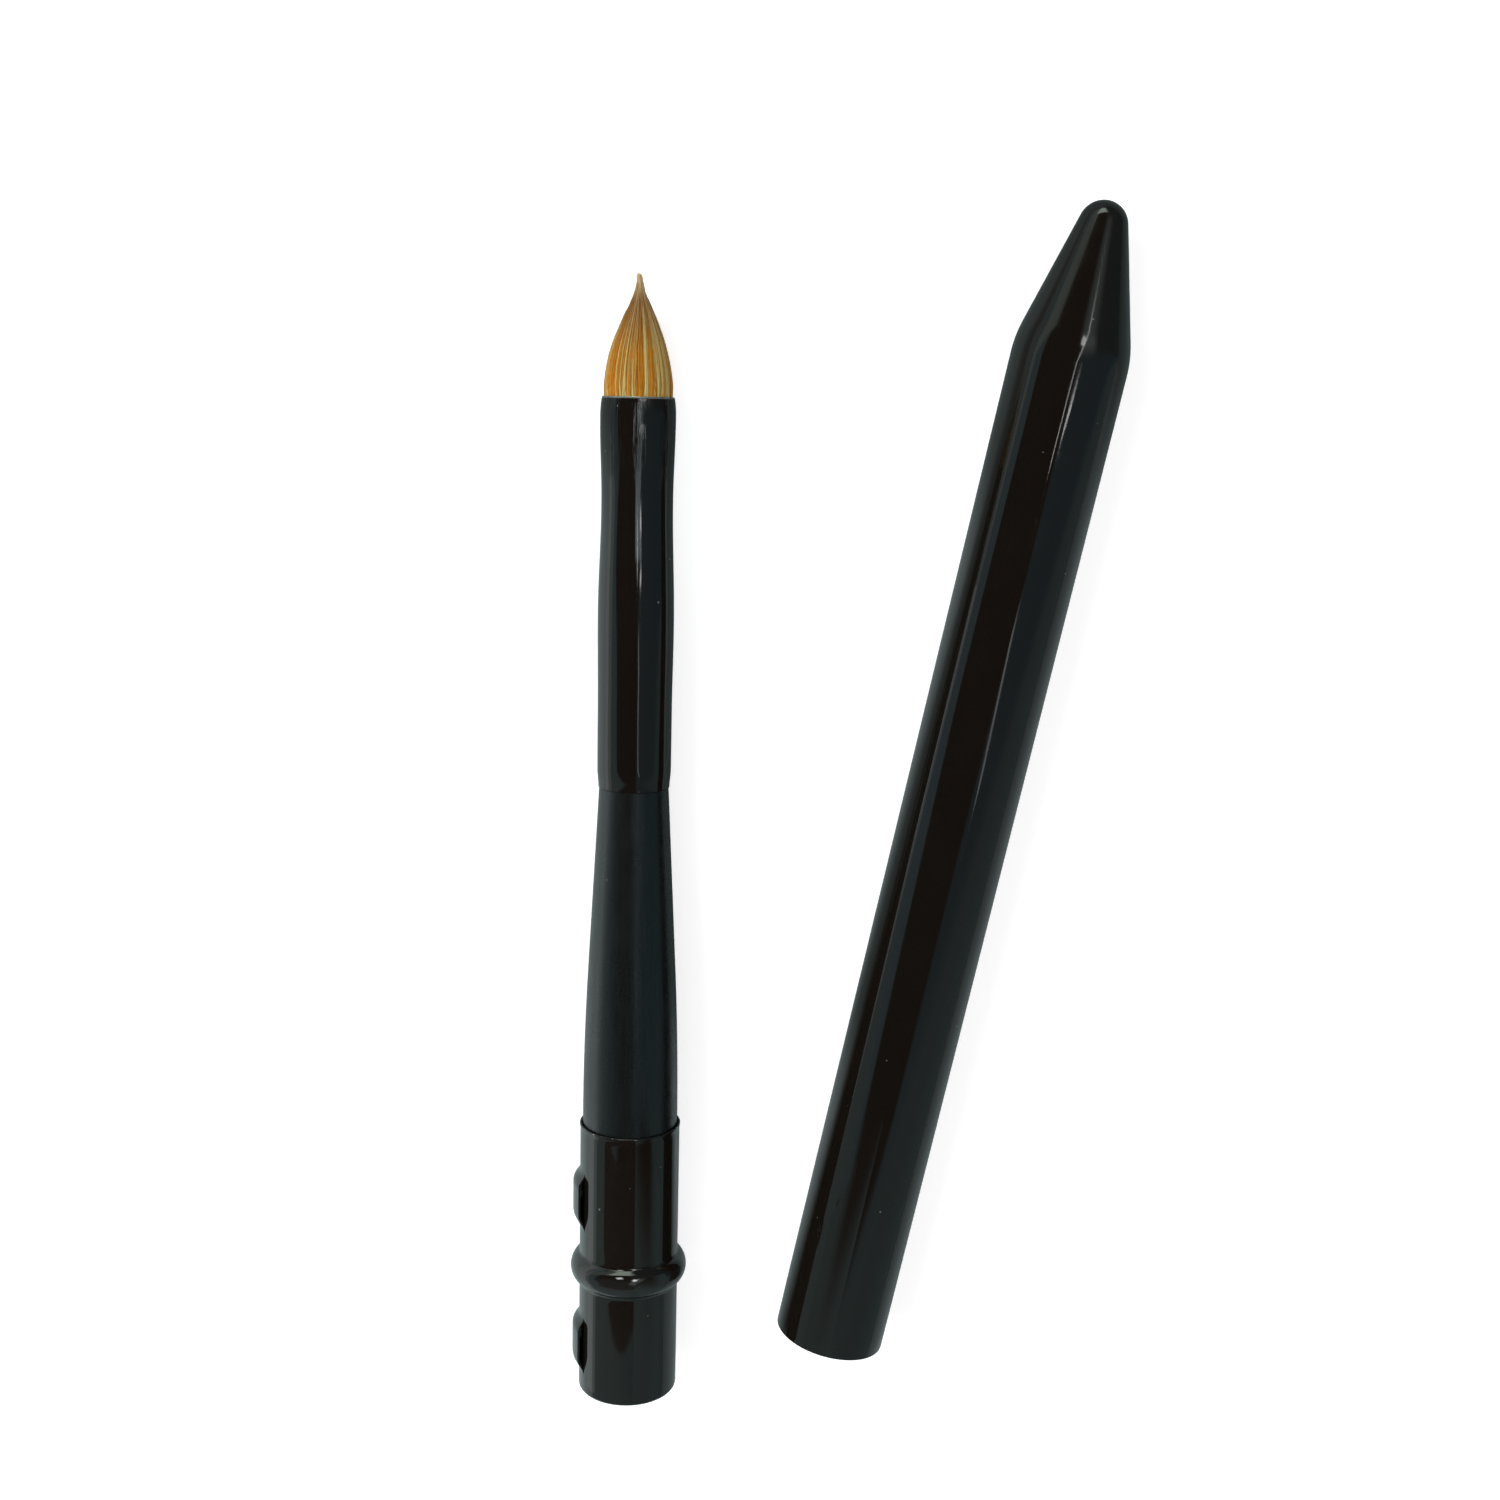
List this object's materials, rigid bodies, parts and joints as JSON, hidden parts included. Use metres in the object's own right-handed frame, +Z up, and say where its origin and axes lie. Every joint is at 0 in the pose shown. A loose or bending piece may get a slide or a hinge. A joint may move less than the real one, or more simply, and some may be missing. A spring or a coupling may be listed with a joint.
{
  "type": "calligraphy brush",
  "caption": "Pocket calligraphy brush: pointed hair tuft in a black ferrule, tapered handle, beaded collar with spring bridges, and a tube cap that pulls off.",
  "frame": {"origin": "on the table, in the middle of the footprint of the brush and its cap", "axes": "+Y along the brush towards its tuft, +X towards the cap that lies beside it, +Z up from the table"},
  "size_m": [0.0467, 0.1078, 0.0106],
  "materials": {
    "sable_hair": "soft natural hair, golden brown at the root and pale at the point",
    "binding_thread": "waxed thread",
    "root_resin": "cast resin",
    "ferrule_lacquer": "gloss black lacquer",
    "handle_lacquer": "satin black lacquer",
    "collar_lacquer": "gloss black lacquer",
    "cap_lacquer": "gloss black lacquer"
  },
  "bodies": {
    "brush": {"handle": "handle_lacquer", "collar": "collar_lacquer", "ferrule": "ferrule_lacquer", "hair_tuft": "sable_hair", "root_thread": "binding_thread", "root_resin": "root_resin"},
    "cap": {"cap": "cap_lacquer"}
  },
  "joints": [
    {"name": "cap_pull", "type": "slide", "parent": "brush", "child": "cap", "axis": [0.1908, 0.9816, 0], "range_m": [0, 0.0873]}
  ]
}
